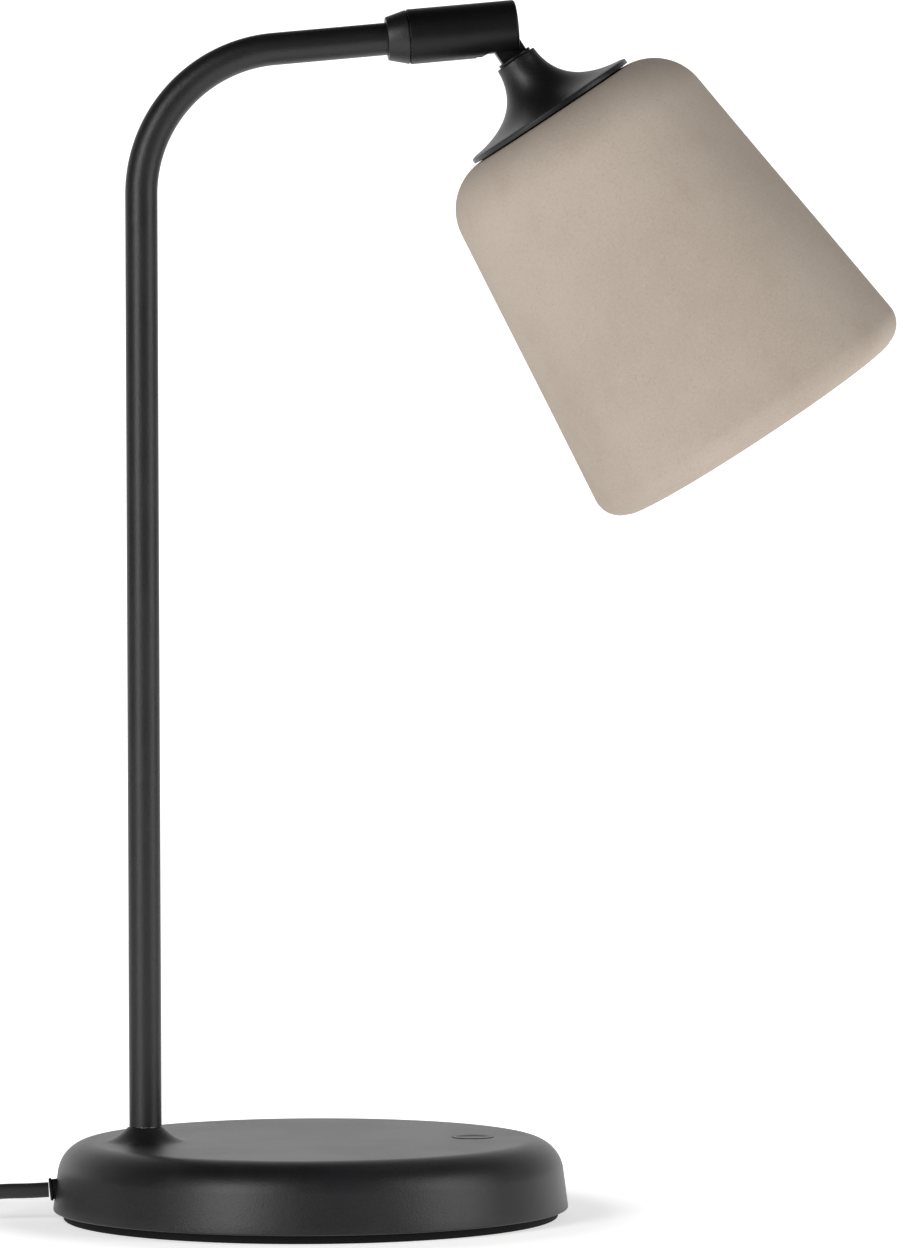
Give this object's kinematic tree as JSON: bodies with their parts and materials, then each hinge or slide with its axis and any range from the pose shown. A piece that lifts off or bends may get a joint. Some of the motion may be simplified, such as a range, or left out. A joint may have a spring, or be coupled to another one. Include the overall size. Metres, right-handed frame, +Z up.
{
  "type": "table lamp",
  "caption": "Table lamp with a round weighted base, a bent tube pole, a swivel and tilt joint, a cast conical shade, a touch button and a coiled mains cord.",
  "frame": {"origin": "centre of the foot pad's underside, on the table", "axes": "+Z up; +X along the arm, from the pole to the shade; the arm lies in the XZ plane"},
  "size_m": [0.4343, 0.2115, 0.4506],
  "materials": {
    "black_paint": "matte",
    "joint_black": "satin",
    "concrete": "matte",
    "rubber": "matte",
    "cord_black": "matte",
    "zinc_steel": "satin",
    "brass": "satin",
    "black_plastic": "matte",
    "white_plastic": "matte",
    "circuit_board": "satin",
    "opal": "satin"
  },
  "bodies": {
    "stand": {"arm_bush": "brass", "arm_collar": "black_paint", "ballast_plate": "zinc_steel", "base_shell": "black_paint", "bottom_cover": "zinc_steel", "button_guide": "black_plastic", "clamp_screw_1": "zinc_steel", "clamp_screw_2": "zinc_steel", "control_lead": "cord_black", "cord_clamp": "white_plastic", "cord_coil": "cord_black", "cord_grommet": "rubber", "cord_tail": "cord_black", "cord_tie": "black_plastic", "cover_screw_1": "zinc_steel", "cover_screw_2": "zinc_steel", "cover_screw_3": "zinc_steel", "cover_screw_4": "zinc_steel", "dimmer_board": "circuit_board", "dimmer_module": "black_plastic", "dimmer_tray": "black_plastic", "foot_pad": "rubber", "plug_body": "black_plastic", "plug_cord": "cord_black", "plug_pin_1": "brass", "plug_pin_2": "brass", "pole_lead": "cord_black", "pole_nipple": "zinc_steel", "pole_nut": "zinc_steel", "pole_tube": "black_paint", "pole_washer": "zinc_steel", "power_cord": "cord_black", "stop_pin": "zinc_steel", "tact_switch": "black_plastic", "terminal_block": "white_plastic"},
    "dimmer_button": {"button_cap": "black_paint", "button_spring": "zinc_steel"},
    "swivel_joint": {"swivel_hub": "brass", "swivel_nut": "zinc_steel", "friction_washer": "white_plastic", "joint_housing": "joint_black", "tilt_spring_washer": "zinc_steel", "tilt_screw": "zinc_steel", "housing_lead": "cord_black"},
    "lamp_head": {"tilt_tongue": "joint_black", "neck_nut": "zinc_steel", "head_lead": "cord_black", "shade_cap": "black_paint", "shade_gasket": "rubber", "shade": "concrete", "lampholder_cap": "black_plastic", "lampholder_body": "black_plastic", "lampholder_contact": "brass", "shade_ring": "black_plastic", "bulb_cap": "zinc_steel", "bulb_body": "white_plastic", "bulb_globe": "opal"}
  },
  "joints": [
    {"name": "arm_swivel", "type": "hinge", "parent": "stand", "child": "swivel_joint", "pos_m": [0.0377, 0, 0.43691], "axis": [0.9959, 0, 0.0906], "range_deg": [-165, 165]},
    {"name": "shade_tilt", "type": "hinge", "parent": "swivel_joint", "child": "lamp_head", "pos_m": [0.07026, 0, 0.43987], "axis": [0, 1, 0], "range_deg": [-61, 38]},
    {"name": "button_press", "type": "slide", "parent": "stand", "child": "dimmer_button", "axis": [0, 0, -1], "range_m": [0, 0.0012], "stiffness_N_per_m": 400, "deforming": ["button_spring"]}
  ]
}
